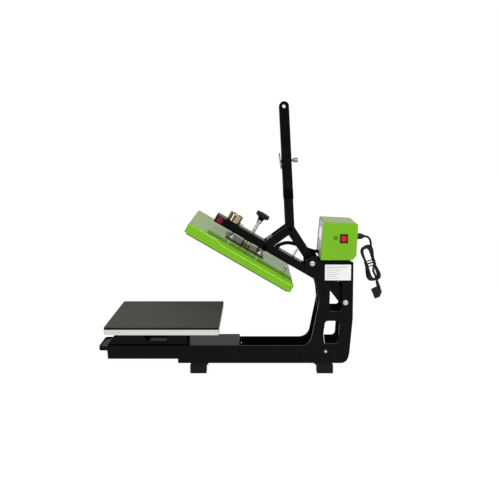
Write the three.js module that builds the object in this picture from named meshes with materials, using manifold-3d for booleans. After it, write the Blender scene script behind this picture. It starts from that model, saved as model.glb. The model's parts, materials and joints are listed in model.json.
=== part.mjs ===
// Clamshell heat press: a toggle handle closes a hinged press arm with a heated head over a
// platen that slides out on a drawer. Millimetres, +Z up, the operator stands at -Y and the
// tower is at +Y. The head is modelled closed, in its own frame at the arm pivot, and turned
// open by OPEN_ANGLE; the drawer is modelled pulled out.
import * as THREE from 'three';
import { mergeVertices } from 'three/addons/utils/BufferGeometryUtils.js';
import Module from 'manifold-3d';

const wasm = await Module();
wasm.setup();

// ---- driving dimensions -------------------------------------------------------------------

const GAP = 0.3; // clearance between pieces that touch
const STEEL = 6; // thickness of the frame's side plates
const SHEET = 3; // thickness of folded steel sheet

const FRAME_HALF = 60; // half width over the two side plates
const FRAME_INSIDE = FRAME_HALF - STEEL;
const BASE_FRONT = -186;
const BASE_BOTTOM = 36;
const BASE_TOP = 98;
const TOWER_REAR = 421.5;
const TOWER_TOP = 394;

const PLATEN_SIZE = 380;
const PLATEN_CENTRE = -226.5; // along Y, with the drawer out
const PAD_TOP = 198;
const PAD_THICK = 7.7;
const PLATE_BOTTOM = 172;

const DECK_TOP = 103; // top of the sliding carriage
const CARRIAGE_HALF = 73;
const CARRIAGE_FRONT = -430.5;
const CARRIAGE_REAR = 27.5;
const CARRIAGE_BOTTOM = 55;

const OPEN_ANGLE = THREE.MathUtils.degToRad(30.25);
const ARM_PIVOT = [395.9, 251]; // Y and Z
const HANDLE_PIVOT = [280.1, 387.6];
const KNEE = [204.06, 505.51]; // the pin between the handle and the toggle link
const LINK_ON_ARM = [-336.8, 24.5]; // the link's pin, in the closed head frame
const HANDLE_LEAN = THREE.MathUtils.degToRad(3);
const HANDLE_REACH = 421; // from the knee to the grip's centre
const ARMATURE_REACH = 234; // from the knee to the armature
const ARMATURE_OFFSET = -19.5; // the armature's back face, ahead of the bar's middle
const ARMATURE_TILT = THREE.MathUtils.degToRad(4.44); // lies flat on the magnet when closed

const ARM_HALF = 31.5;
const ARM_WALL = 5;
const ARM_BOTTOM = 12; // in the closed head frame
const ARM_TOP = 40;
const ARM_FRONT = -536;
const PIVOT_RADIUS = 10;

const FORK_OUTSIDE = 31.2; // outer face of the handle's side bars
const BAR = 6; // thickness of the handle's side bars
const LINK_INSIDE = 32.2;
const LINK_THICK = 5;

const COVER_HALF = 202;
const COVER_FRONT = -603;
const COVER_REAR = -204;
const COVER_BOTTOM = -44;
const COVER_TOP = -10;
const COVER_SHEET = 1.6;
const KNOB_AXIS = -396; // along Y, in the closed head frame

const BOX_HALF = 85; // half width of the control box
const BOX_WALL = 2.5;
const BOX_TOP = 535.5; // at the front; the top falls a little towards the rear
const SWITCH_CENTRE = [384.3, 477.5]; // Y and Z on the control box's right side

const STRUT_FOOT = [328.5, 78];
const STRUT_ON_ARM = [-122, 18]; // in the closed head frame

const CORD_DIAMETER = 8;
const GLAND = { z: 474, start: 432.4, end: 465 };

// ---- materials ----------------------------------------------------------------------------

const paint = (color, roughness = 0.25) => new THREE.MeshStandardMaterial({ color, roughness });
const metal = (color, roughness = 0.3) =>
  new THREE.MeshStandardMaterial({ color, roughness, metalness: 1 });

const MATERIAL = {
  black: paint(0x111113),
  green: paint(0x6fbe12),
  rubber: paint(0x1a1a1a, 0.8),
  plastic: paint(0x1c1c1e, 0.45),
  grey: paint(0xd8d8d4, 0.4),
  label: paint(0xe9e9e6, 0.5),
  red: paint(0xb3121e, 0.3),
  glass: paint(0x10231c, 0.1),
  pad: paint(0x4c4a48, 0.9),
  ptfe: paint(0x2c2a27, 0.6),
  wool: paint(0xd9cfae, 0.95),
  board: paint(0x1f6b3a, 0.5),
  steel: metal(0xb9bcc0),
  chrome: metal(0xd9dbdd, 0.12),
  aluminium: metal(0xcfd0d0, 0.4),
  bronze: metal(0xb08a4a, 0.3),
};

// ---- geometry helpers ---------------------------------------------------------------------

const ARC_STEP = Math.PI / 12; // the most that one straight stretch of an arc turns

// A closed outline through corners [u, v, radius]; a corner with a radius becomes an arc.
function outline(corners, Kind = THREE.Shape) {
  const points = [];
  corners.forEach(([u, v, radius = 0], i) => {
    const corner = new THREE.Vector2(u, v);
    const before = new THREE.Vector2(...corners.at(i - 1).slice(0, 2)).sub(corner).normalize();
    const after = new THREE.Vector2(...corners[(i + 1) % corners.length].slice(0, 2));
    after.sub(corner).normalize();
    if (radius === 0) {
      points.push(corner);
      return;
    }
    const half = Math.acos(before.dot(after)) / 2;
    const centre = before.clone().add(after).setLength(radius / Math.sin(half)).add(corner);
    const start = before.clone().multiplyScalar(radius / Math.tan(half)).add(corner).sub(centre);
    const turn = (Math.PI - 2 * half) * Math.sign(after.cross(before));
    const steps = Math.max(1, Math.ceil(Math.abs(turn) / ARC_STEP));
    for (let k = 0; k <= steps; k += 1) {
      const spoke = start.clone().rotateAround(new THREE.Vector2(), (turn * k) / steps);
      points.push(spoke.add(centre));
    }
  });
  return new Kind(points);
}

const circle = (u, v, radius, sides = 24) =>
  new THREE.Path(
    Array.from({ length: sides }, (_, i) => {
      const angle = (2 * Math.PI * i) / sides;
      return new THREE.Vector2(u + radius * Math.cos(angle), v + radius * Math.sin(angle));
    }),
  );

const slotOutline = (u0, u1, v0, v1) => {
  const radius = Math.min(u1 - u0, v1 - v0) / 2 - 0.01;
  return outline([[u0, v0, radius], [u1, v0, radius], [u1, v1, radius], [u0, v1, radius]], THREE.Path);
};

// A shape drawn in Y and Z, as a solid from x0 to x1.
const ALONG_X = new THREE.Matrix4().makeBasis(
  new THREE.Vector3(0, 1, 0),
  new THREE.Vector3(0, 0, 1),
  new THREE.Vector3(1, 0, 0),
);
function acrossX(shape, x0, x1, holes = []) {
  const drawn = shape.clone();
  drawn.holes = holes;
  const solid = new THREE.ExtrudeGeometry(drawn, { depth: x1 - x0, bevelEnabled: false });
  return solid.applyMatrix4(ALONG_X).translate(x0, 0, 0);
}

// A shape drawn in X and Y, as a solid from z0 to z1.
function upright(shape, z0, z1, holes = []) {
  const drawn = shape.clone();
  drawn.holes = holes;
  return new THREE.ExtrudeGeometry(drawn, { depth: z1 - z0, bevelEnabled: false }).translate(0, 0, z0);
}

function block([x0, x1], [y0, y1], [z0, z1]) {
  const solid = new THREE.BoxGeometry(x1 - x0, y1 - y0, z1 - z0);
  return solid.translate((x0 + x1) / 2, (y0 + y1) / 2, (z0 + z1) / 2);
}

// A solid of revolution about an axis along X, Y or Z, from [radius, place along the axis] pairs.
function turned(axis, [u, v], profile, sides = 24) {
  const closed = [[0, profile[0][1]], ...profile, [0, profile.at(-1)[1]]];
  const solid = new THREE.LatheGeometry(closed.map(([r, h]) => new THREE.Vector2(r, h)), sides);
  if (axis === 'x') return solid.rotateZ(-Math.PI / 2).translate(0, u, v);
  if (axis === 'z') return solid.rotateX(Math.PI / 2).translate(u, v, 0);
  return solid.translate(u, 0, v);
}

const rod = (axis, at, radius, from, to, sides = 24) =>
  turned(axis, at, [[radius, from], [radius, to]], sides);

function toSolid(geometry) {
  const bare = geometry.clone();
  bare.deleteAttribute('normal');
  bare.deleteAttribute('uv');
  const merged = mergeVertices(bare, 1e-4);
  const corners = [...merged.index.array];
  const kept = []; // a lathe's triangles on its axis have shrunk to nothing
  for (let i = 0; i < corners.length; i += 3) {
    const [a, b, c] = corners.slice(i, i + 3);
    if (a !== b && b !== c && c !== a) kept.push(a, b, c);
  }
  const solid = new wasm.Mesh({
    numProp: 3,
    vertProperties: new Float32Array(merged.attributes.position.array),
    triVerts: new Uint32Array(kept),
  });
  return new wasm.Manifold(solid);
}

function toGeometry(solid) {
  const mesh = solid.getMesh();
  const geometry = new THREE.BufferGeometry();
  geometry.setAttribute('position', new THREE.BufferAttribute(mesh.vertProperties, 3));
  geometry.setIndex(new THREE.BufferAttribute(mesh.triVerts, 1));
  geometry.computeVertexNormals();
  return geometry;
}

const cut = (base, ...tools) =>
  toGeometry(tools.reduce((solid, tool) => solid.subtract(toSolid(tool)), toSolid(base)));
const join = (base, ...parts) =>
  toGeometry(parts.reduce((solid, part) => solid.add(toSolid(part)), toSolid(base)));

// ---- the scene graph ----------------------------------------------------------------------

const machine = new THREE.Group();

// The head frame: Y and Z from the arm pivot with the press closed.
const headFrame = new THREE.Group();
headFrame.position.set(0, ...ARM_PIVOT);
headFrame.rotation.x = -OPEN_ANGLE;
machine.add(headFrame);

function piece(name, geometry, material, parent = machine) {
  const mesh = new THREE.Mesh(geometry, material);
  mesh.name = name;
  parent.add(mesh);
  return mesh;
}

// A place in the head frame, given in the machine's Y and Z.
function fromHead([y, z]) {
  const cos = Math.cos(OPEN_ANGLE);
  const sin = Math.sin(OPEN_ANGLE);
  return [ARM_PIVOT[0] + y * cos + z * sin, ARM_PIVOT[1] - y * sin + z * cos];
}

const SIDES = [['left', -1], ['right', 1]];
const between = (side, inner, outer) => (side > 0 ? [inner, outer] : [-outer, -inner]);

// ---- frame --------------------------------------------------------------------------------

const towerOutline = outline([
  [BASE_FRONT, BASE_BOTTOM, 3],
  [BASE_FRONT, BASE_TOP, 3],
  [273.4, BASE_TOP, 38],
  [305, 258, 40],
  [289, 335, 25],
  [256, 358, 20],
  [256, 411.5, 23.5],
  [304, 411.5, 23.5],
  [306, TOWER_TOP, 3],
  [TOWER_REAR, TOWER_TOP, 6],
  [TOWER_REAR, 195, 60],
  [411, 70, 30],
  [402, BASE_BOTTOM, 26],
]);

function frame() {
  const holes = [
    circle(...ARM_PIVOT, PIVOT_RADIUS + GAP),
    circle(...HANDLE_PIVOT, PIVOT_RADIUS + GAP),
    circle(...STRUT_FOOT, 5 + GAP, 16),
    outline([[339.5, 219, 8], [383.5, 219, 8], [383.5, 325, 10], [343, 325, 10]], THREE.Path),
    outline([[315.5, 105, 10], [372, 105, 14], [376.5, 186, 14], [326, 186, 12]], THREE.Path),
  ];
  for (const [name, side] of SIDES) {
    const [x0, x1] = between(side, FRAME_INSIDE, FRAME_HALF);
    piece(`frame_side_${name}`, acrossX(towerOutline, x0, x1, holes), MATERIAL.black);
  }
  const inside = FRAME_INSIDE - GAP;
  piece('frame_rear_plate', block([-inside, inside], [416, 420], [200, 388]), MATERIAL.black);
  const deck = join(
    block([-inside, inside], [BASE_FRONT + 4, 300], [BASE_BOTTOM + 4, BASE_BOTTOM + 7]),
    block([-inside, inside], [BASE_FRONT + 4, BASE_FRONT + 7], [BASE_BOTTOM + 4, 92]),
  );
  piece('base_deck', deck, MATERIAL.black);
}

// A rubber foot with a narrower neck under the frame.
function feet() {
  for (const [name, side] of SIDES) {
    for (const [place, y] of [['front', -115], ['rear', 326.5]]) {
      const [x0, x1] = between(side, 30, 64);
      const foot = join(
        block([x0, x1], [y - 28.5, y + 28.5], [0, 30]),
        block([x0 + 3, x1 - 3], [y - 24, y + 24], [29.5, BASE_BOTTOM - GAP]),
      );
      piece(`foot_${place}_${name}`, foot, MATERIAL.rubber);
    }
  }
}

// A shaft across the frame with a domed head at each end.
function shaft(name, at, radius, head) {
  const out = FRAME_HALF + GAP;
  const dome = [[head, out], [head * 0.95, out + head * 0.25], [head * 0.6, out + head * 0.45]];
  const left = [...dome].reverse().map(([r, x]) => [r, -x]);
  piece(name, turned('x', at, [...left, [radius, -out], [radius, out], ...dome]), MATERIAL.steel);
}

function labelPlate() {
  const plate = block([FRAME_HALF + GAP, FRAME_HALF + 0.9], [323.5, 413], [329, 384]);
  piece('label_plate', plate, MATERIAL.label);
}

// ---- press arm ----------------------------------------------------------------------------

function pressArm() {
  const side = outline([
    [ARM_FRONT, ARM_BOTTOM, 3],
    [-80, ARM_BOTTOM, 20],
    [-9, -16.7],
    [7, 17.6],
    [-45, ARM_TOP, 30],
    [ARM_FRONT, ARM_TOP, 3],
  ]);
  const hollow = outline([
    [ARM_FRONT + 4, ARM_BOTTOM - 30],
    [60, ARM_BOTTOM - 60],
    [60, 60],
    [-60, 60],
    [-60, ARM_TOP - 4],
    [ARM_FRONT + 4, ARM_TOP - 4],
  ]);
  const inner = ARM_HALF - ARM_WALL;
  const channel = cut(
    join(acrossX(side, -ARM_HALF, ARM_HALF), rod('x', [0, 0], 19, -ARM_HALF, ARM_HALF)),
    acrossX(hollow, -inner, inner),
    rod('x', LINK_ON_ARM, 6 + GAP, -50, 50),
    rod('z', [0, KNOB_AXIS], 7, 20, 50),
    rod('z', [0, -232], 4.6, 20, 50, 16),
  );
  const hub = rod('x', [0, 0], 16, -FRAME_INSIDE + GAP, FRAME_INSIDE - GAP);
  const ball = turned('x', STRUT_ON_ARM, [[4, -28], [4, -4.5], [5, -3], [5, 3], [4, 4.5], [4, 28]], 16);
  const welded = cut(join(channel, hub, ball), rod('x', [0, 0], PIVOT_RADIUS + GAP, -60, 60));
  piece('press_arm', welded, MATERIAL.black, headFrame);

  const nut = cut(
    block([-inner + GAP, inner - GAP], [KNOB_AXIS - 16, KNOB_AXIS + 16], [17, ARM_TOP - 4 - GAP]),
    rod('z', [0, KNOB_AXIS], 6 + GAP, 0, 60),
  );
  piece('pressure_nut', nut, MATERIAL.steel, headFrame);

  const end = LINK_INSIDE + LINK_THICK + GAP;
  const head = [[10, end], [9.5, end + 3], [5, end + 4.5]];
  const left = [...head].reverse().map(([r, x]) => [r, -x]);
  const pin = turned('x', LINK_ON_ARM, [...left, [6, -end], [6, end], ...head]);
  piece('link_pin', pin, MATERIAL.steel, headFrame);
}

function electromagnet() {
  const at = [0, -475];
  const body = turned('z', at, [
    [23, ARM_TOP + GAP],
    [25, ARM_TOP + 2],
    [25, 68.5],
    [23.5, 70.5],
    [13, 70.5],
    [13, 69.5],
    [10, 69.5],
    [10, 70.5],
  ], 32);
  piece('electromagnet', body, MATERIAL.bronze, headFrame);
}

function releaseButton() {
  const [y, z] = [-519, 26.5];
  const half = 14;
  const face = ARM_HALF + GAP;
  const bezel = cut(
    block([face, face + 6], [y - half, y + half], [z - half, z + half]),
    rod('x', [y, z], 11.8, face + 1.5, face + 10),
  );
  piece('release_bezel', bezel, MATERIAL.plastic, headFrame);
  const cap = turned('x', [y, z], [[11.3, face + 4.5], [11.3, face + 8.5], [9.5, face + 9.5]]);
  piece('release_button', cap, MATERIAL.red, headFrame);
}

// ---- pressure screw -----------------------------------------------------------------------

function pressureKnob() {
  const screw = turned('z', [0, KNOB_AXIS], [
    [6, -1],
    [6, 80],
    [8, 80.5],
    [9.5, 91.7],
  ]);
  piece('pressure_screw', screw, MATERIAL.chrome, headFrame);
  const lobes = 7;
  const star = new THREE.Shape(
    Array.from({ length: lobes * 8 }, (_, i) => {
      const angle = (2 * Math.PI * i) / (lobes * 8);
      const radius = 22.5 + 2.5 * Math.cos(lobes * angle);
      return new THREE.Vector2(radius * Math.cos(angle), KNOB_AXIS + radius * Math.sin(angle));
    }),
  );
  const knob = join(
    upright(star, 106, 118),
    turned('z', [0, KNOB_AXIS], [[11, 92], [12, 98], [17, 106.5], [17, 107]]),
    turned('z', [0, KNOB_AXIS], [[14, 117], [12, 121]]),
  );
  piece('pressure_knob', knob, MATERIAL.plastic, headFrame);
}

// ---- heated head --------------------------------------------------------------------------

const SHOULDER_START = COVER_FRONT + 105; // where the cover's side wall steps down
const SHOULDER_END = SHOULDER_START + 20;
const WALL_FRONT = 31;
const WALL_REAR = 23;

// Height of the cover's side wall above its bottom edge.
function wallHeight(y) {
  const t = THREE.MathUtils.smoothstep(y, SHOULDER_START, SHOULDER_END);
  return WALL_FRONT + (WALL_REAR - WALL_FRONT) * t;
}

// Points round the cover's edge, drawn in from its outline, with their heights.
function coverRing(inset, height) {
  const radius = 13;
  const corner = (x, y, from) =>
    Array.from({ length: 5 }, (_, i) => {
      const angle = from + (Math.PI / 8) * i;
      return [x, y, Math.cos(angle), Math.sin(angle)];
    });
  const right = COVER_HALF - radius;
  const [front, rear] = [COVER_FRONT + radius, COVER_REAR - radius];
  const step = (SHOULDER_END - SHOULDER_START) / 5;
  const steps = Array.from({ length: 6 }, (_, i) => SHOULDER_START + step * i);
  const round = [
    ...corner(right, front, -Math.PI / 2),
    ...steps.map((y) => [right, y, 1, 0]),
    ...corner(right, rear, 0),
    ...corner(-right, rear, Math.PI / 2),
    ...[...steps].reverse().map((y) => [-right, y, -1, 0]),
    ...corner(-right, front, Math.PI),
  ];
  return round.map(([x, y, nx, ny]) => {
    const reach = radius - inset(y);
    return new THREE.Vector3(x + nx * reach, y + ny * reach, height(y));
  });
}

// A closed solid through rings of as many points each, with flat ends.
function loft(rings) {
  const count = rings[0].length;
  const positions = rings.flat().flatMap((p) => [p.x, p.y, p.z]);
  const faces = [];
  for (let k = 0; k + 1 < rings.length; k += 1) {
    for (let i = 0; i < count; i += 1) {
      const [a, b] = [k * count + i, k * count + ((i + 1) % count)];
      faces.push(a, b, b + count, a, b + count, a + count);
    }
  }
  const flat = (ring) => ring.map((p) => new THREE.Vector2(p.x, p.y));
  const last = (rings.length - 1) * count;
  for (const [a, b, c] of THREE.ShapeUtils.triangulateShape(flat(rings[0]), [])) {
    faces.push(c, b, a);
  }
  for (const [a, b, c] of THREE.ShapeUtils.triangulateShape(flat(rings.at(-1)), [])) {
    faces.push(last + a, last + b, last + c);
  }
  const geometry = new THREE.BufferGeometry();
  geometry.setAttribute('position', new THREE.Float32BufferAttribute(positions, 3));
  geometry.setIndex(faces);
  return geometry;
}

function heatCover() {
  const outside = loft([
    coverRing(() => 0, () => COVER_BOTTOM),
    coverRing(() => 0, (y) => COVER_BOTTOM + wallHeight(y)),
    coverRing((y) => COVER_TOP - COVER_BOTTOM - wallHeight(y), () => COVER_TOP),
  ]);
  const inside = loft([
    coverRing(() => COVER_SHEET, () => COVER_BOTTOM - 5),
    coverRing(() => COVER_SHEET, (y) => COVER_BOTTOM + wallHeight(y) - COVER_SHEET * 0.6),
    coverRing(
      (y) => COVER_TOP - COVER_BOTTOM - wallHeight(y) + COVER_SHEET,
      () => COVER_TOP - COVER_SHEET,
    ),
  ]);
  const vents = [-1, 1].flatMap((side) =>
    [-557, -546].map((y) => rod('z', [side * 150, y], 3.2, COVER_TOP - 8, COVER_TOP + 4, 12)),
  );
  piece('heat_cover', cut(outside, inside, ...vents), MATERIAL.green, headFrame);
}

function head() {
  heatCover();
  const middle = (COVER_FRONT + COVER_REAR) / 2;
  const half = PLATEN_SIZE / 2;
  const slab = (reach) => [middle - reach, middle + reach];
  const wool = block([-178, 178], slab(178), [-33.7, -13]);
  piece('heat_insulation', wool, MATERIAL.wool, headFrame);
  piece('heating_plate', block([-half, half], slab(half), [-48.5, -34]), MATERIAL.ptfe, headFrame);

  const studs = [-1, 1].flatMap((side) => [-455, -345].map((y) => [side * 60, y]));
  const mount = join(
    block([-72, 72], [-474, -326], [COVER_TOP + 0.5, COVER_TOP + 3.5]),
    ...studs.map((at) => rod('z', at, 4, COVER_TOP + 1, 9, 12)),
  );
  piece('mount_plate', mount, MATERIAL.black, headFrame);

  const bush = cut(
    rod('z', [0, KNOB_AXIS], 17.5, COVER_TOP + 3.5 + GAP, 11.5, 32),
    rod('z', [0, KNOB_AXIS], 7, COVER_TOP - 5, 20),
  );
  piece('thrust_bush', bush, MATERIAL.steel, headFrame);

  const collar = [[8, COVER_TOP + GAP], [8, COVER_TOP + 4], [4, COVER_TOP + 4]];
  const guide = turned('z', [0, -232], [...collar, [4, 70]], 16);
  piece('guide_rod', guide, MATERIAL.chrome, headFrame);
}

// ---- handle and toggle link ---------------------------------------------------------------

// The place that is a distance up the handle from the knee, and a distance behind its middle.
function onHandle(up, behind = 0) {
  const [sin, cos] = [Math.sin(HANDLE_LEAN), Math.cos(HANDLE_LEAN)];
  return [KNEE[0] - up * sin + behind * cos, KNEE[1] + up * cos + behind * sin];
}

function handle() {
  const lower = 15.4; // half width of the bar below the collars
  const upper = 16.4;
  const link = new THREE.Vector2(HANDLE_PIVOT[0] - KNEE[0], HANDLE_PIVOT[1] - KNEE[1]).normalize();
  const linkCorner = (along, aside, radius) => [
    HANDLE_PIVOT[0] + link.x * along + link.y * aside,
    HANDLE_PIVOT[1] + link.y * along - link.x * aside,
    radius,
  ];
  const side = outline([
    [...onHandle(HANDLE_REACH + upper, -upper), upper - 0.1],
    [...onHandle(HANDLE_REACH + upper, upper), upper - 0.1],
    [...onHandle(120, upper), 0],
    [...onHandle(118, lower), 0],
    [...onHandle(2, lower), 10],
    linkCorner(14, -14, 13.9),
    linkCorner(14, 14, 13.9),
    [...onHandle(-22, -7), 18],
    [...onHandle(-4, -lower), 14],
    [...onHandle(118, -lower), 0],
    [...onHandle(120, -upper), 0],
  ]);
  const bore = [circle(...onHandle(HANDLE_REACH), 6.5, 20)];
  const bars = SIDES.map(([, way]) => {
    const [x0, x1] = between(way, FORK_OUTSIDE - BAR, FORK_OUTSIDE);
    return acrossX(side, x0, x1, bore);
  });
  const hub = rod('x', HANDLE_PIVOT, 14.5, -FRAME_INSIDE + GAP, FRAME_INSIDE - GAP);
  const knee = rod('x', KNEE, 7, -FORK_OUTSIDE, FORK_OUTSIDE);
  const [carrierY, carrierZ] = onHandle(ARMATURE_REACH, -8);
  const carrier = block([-FORK_OUTSIDE + 1, FORK_OUTSIDE - 1], [-2.5, 2.5], [-14, 14]);
  const boltBore = rod('y', [0, 0], 5 + GAP, -10, 10, 12);
  for (const solid of [carrier, boltBore]) {
    solid.rotateX(HANDLE_LEAN).translate(0, carrierY, carrierZ);
  }
  const shaftBore = rod('x', HANDLE_PIVOT, PIVOT_RADIUS + GAP, -60, 60);
  const fork = join(bars[0], bars[1], hub, knee, carrier);
  piece('handle_fork', cut(fork, shaftBore, boltBore), MATERIAL.black);

  const inside = FORK_OUTSIDE - BAR - GAP;
  const grip = cut(
    rod('x', onHandle(HANDLE_REACH), 15, -inside, inside),
    rod('x', onHandle(HANDLE_REACH), 6.5, -60, 60, 20),
  );
  piece('handle_grip', grip, MATERIAL.rubber);
}

// The armature plate lies flat on the electromagnet when the press is closed; its bolt passes
// back through the carrier plate between the bars.
function armature() {
  const nut = [[5, 12], [8.5, 12], [8.5, 17], [5, 17], [5, 24], [8, 24], [8, 39.5]];
  const bolt = turned('y', [0, 0], [[5, ARMATURE_OFFSET + 2], ...nut], 12);
  const disc = turned('y', [0, 0], [[27, -4.2], [28, -3.4], [28, 0], [5, 0], [5, 4]], 32);
  disc.rotateX(ARMATURE_TILT).translate(0, ARMATURE_OFFSET, 0);
  const group = new THREE.Group();
  group.position.set(0, ...onHandle(ARMATURE_REACH));
  group.rotation.x = HANDLE_LEAN;
  machine.add(group);
  piece('armature_plate', join(bolt, disc), MATERIAL.steel, group);
}

// Two side plates joined by a short web that clears the arm and the handle bars.
function toggleLink() {
  const pin = fromHead(LINK_ON_ARM);
  const along = new THREE.Vector2(KNEE[0] - pin[0], KNEE[1] - pin[1]);
  const length = along.length();
  const link = new THREE.Group();
  link.position.set(0, ...pin);
  link.rotation.x = along.angle();
  machine.add(link);
  const radius = 15.5;
  const side = outline([
    [-radius, -radius, radius - 0.1],
    [length + radius, -radius, radius - 0.1],
    [length + radius, radius, radius - 0.1],
    [-radius, radius, 6],
  ]);
  const [webStart, webEnd] = [18, length - 66];
  const inside = outline([
    [-radius - 5, -radius - 5],
    [length + radius + 5, -radius - 5],
    [length + radius + 5, radius + 5],
    [webEnd, radius + 5],
    [webEnd, radius - LINK_THICK],
    [webStart, radius - LINK_THICK],
    [webStart, radius + 5],
    [-radius - 5, radius + 5],
  ]);
  const outer = LINK_INSIDE + LINK_THICK;
  const channel = cut(
    acrossX(side, -outer, outer),
    acrossX(inside, -LINK_INSIDE, LINK_INSIDE),
    rod('x', [0, 0], 6 + GAP, -60, 60),
    rod('x', [length, 0], 5 + GAP, -60, 60),
  );
  piece('toggle_link', channel, MATERIAL.black, link);
  for (const [name, way] of SIDES) {
    const head = [[11.5, outer + GAP], [11, outer + 3.5], [6, outer + 5]];
    const profile = [[5, LINK_INSIDE], [5, outer + GAP], ...head];
    const mirrored = profile.map(([r, x]) => [r, -x]).reverse();
    const bolt = turned('x', [length, 0], way > 0 ? profile : mirrored);
    piece(`knee_bolt_${name}`, bolt, MATERIAL.steel, link);
  }
}

// ---- gas strut ----------------------------------------------------------------------------

function gasStrut() {
  const top = fromHead(STRUT_ON_ARM);
  const along = new THREE.Vector2(top[0] - STRUT_FOOT[0], top[1] - STRUT_FOOT[1]);
  const length = along.length();
  const strut = new THREE.Group();
  strut.position.set(0, ...STRUT_FOOT);
  strut.rotation.x = along.angle() - Math.PI / 2;
  machine.add(strut);
  const rodSolid = cut(
    join(rod('z', [0, 0], 4, 8, 120, 16), rod('x', [0, 0], 10, -5, 5, 20)),
    rod('x', [0, 0], 5 + GAP, -10, 10, 16),
  );
  piece('strut_rod', rodSolid, MATERIAL.chrome, strut);
  const eye = 8; // the eye is wide enough for the ball as the arm turns
  const cylinder = cut(
    join(
      rod('z', [0, 0], 9, 66, length - 14, 20),
      rod('z', [0, 0], 5, length - 18, length - 9, 12),
      rod('x', [0, length], 10.5, -4, 4, 20),
    ),
    rod('x', [0, length], eye, -10, 10, 20),
    rod('z', [0, 0], 4.6, 50, length - 20, 16),
  );
  piece('strut_cylinder', cylinder, MATERIAL.black, strut);
}

// ---- drawer -------------------------------------------------------------------------------

function carriage() {
  const side = outline([
    [CARRIAGE_FRONT + 3, CARRIAGE_BOTTOM, 2],
    [CARRIAGE_REAR, CARRIAGE_BOTTOM, 2],
    [CARRIAGE_REAR, DECK_TOP, 2],
    [CARRIAGE_FRONT, DECK_TOP, 2],
  ]);
  const inner = CARRIAGE_HALF - SHEET;
  const folded = cut(
    acrossX(side, -CARRIAGE_HALF, CARRIAGE_HALF),
    block([-inner, inner], [CARRIAGE_FRONT + 6, CARRIAGE_REAR + 5], [0, DECK_TOP - SHEET]),
  );
  piece('drawer_carriage', folded, MATERIAL.black);

  const wall = 4;
  const holderSide = outline([
    [CARRIAGE_FRONT + 1, DECK_TOP + GAP, 0],
    [-154.5, DECK_TOP + GAP, 0],
    [-154.5, PLATE_BOTTOM - GAP, 0],
    [-378, PLATE_BOTTOM - GAP, 0],
  ]);
  const window = slotOutline(-301.5, -221.5, 117, 141);
  const half = 65;
  const holder = cut(
    acrossX(holderSide, -half, half, [window]),
    block([-half + wall, half - wall], [-500, -100], [DECK_TOP - 10, PLATE_BOTTOM - 5]),
  );
  piece('platen_holder', holder, MATERIAL.black);
}

// A folded tray lip in front of the drawer, hollow underneath for the fingers.
function pullHandle() {
  const root = CARRIAGE_FRONT - 0.1;
  const front = -461.5;
  const outer = outline([[-61, root], [-61, front, 12], [61, front, 12], [61, root]]);
  const inner = outline([[-57, root + 2], [-57, front + 4, 8], [57, front + 4, 8], [57, root + 2]]);
  const lip = cut(upright(outer, 81, 96), upright(inner, 80, 89), upright(inner, 92, 97));
  piece('pull_handle', lip, MATERIAL.black);
}

function platen() {
  const half = PLATEN_SIZE / 2;
  const square = outline([
    [-half, PLATEN_CENTRE - half, 8],
    [half, PLATEN_CENTRE - half, 8],
    [half, PLATEN_CENTRE + half, 8],
    [-half, PLATEN_CENTRE + half, 8],
  ]);
  piece('platen_plate', upright(square, PLATE_BOTTOM, PAD_TOP - PAD_THICK - GAP), MATERIAL.aluminium);
  piece('silicone_pad', upright(square, PAD_TOP - PAD_THICK, PAD_TOP), MATERIAL.pad);
}

// Each side has a channel on the frame and a rail on the carriage that runs in it.
function drawerSlides() {
  for (const [name, side] of SIDES) {
    const span = (inner, outer) => between(side, FRAME_HALF + inner, FRAME_HALF + outer);
    const length = [-180, 20];
    const channel = join(
      block(span(GAP, 2), length, [62, 92]),
      block(span(1, 6), length, [90, 92]),
      block(span(1, 6), length, [62, 64]),
    );
    piece(`slide_channel_${name}`, channel, MATERIAL.steel);
    const moving = [-415, 22];
    const rail = join(
      block(span(8, 10 - GAP), moving, [66, 88]),
      block(span(3, 8.5), moving, [72, 82]),
    );
    piece(`slide_rail_${name}`, rail, MATERIAL.steel);
  }
}

// ---- control box --------------------------------------------------------------------------

const BOX_FOOT = [304.5, 403]; // lower front edge, Y and Z
const BOX_FACE_LEAN = Math.atan2(11, BOX_TOP - BOX_FOOT[1]);
const FUSE = [356.1, 479.4]; // Y and Z on the right side

function controlBox() {
  const inside = FRAME_HALF - 2;
  const bracket = block([-inside, inside], [318, 408], [TOWER_TOP + GAP, BOX_FOOT[1] - GAP]);
  piece('control_box_bracket', bracket, MATERIAL.black);

  const body = outline([
    [...BOX_FOOT, 4],
    [315.5, BOX_TOP, 6],
    [433, BOX_TOP - 6, 10],
    [428, 417, 8],
    [414, BOX_FOOT[1], 6],
  ]);
  const cavity = outline([
    [BOX_FOOT[0] - 12, BOX_FOOT[1] + BOX_WALL],
    [300, BOX_TOP + 0.8 - BOX_WALL],
    [430.5, BOX_TOP - 5.9 - BOX_WALL, 8],
    [425.5, 418, 7],
    [413, BOX_FOOT[1] + BOX_WALL, 5],
  ]);
  const inner = BOX_HALF - BOX_WALL;
  const [sy, sz] = SWITCH_CENTRE;
  const shell = cut(
    acrossX(body, -BOX_HALF, BOX_HALF),
    acrossX(cavity, -inner, inner),
    block([inner - 5, BOX_HALF + 5], [sy - 11, sy + 11], [sz - 13, sz + 13]),
    rod('x', FUSE, 4.5, inner - 5, BOX_HALF + 5, 16),
    rod('y', [0, GLAND.z], 8, 400, 460, 16),
  );
  piece('control_box_shell', shell, MATERIAL.green);
  controlPanel(inner);
  boxContents();
}

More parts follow.
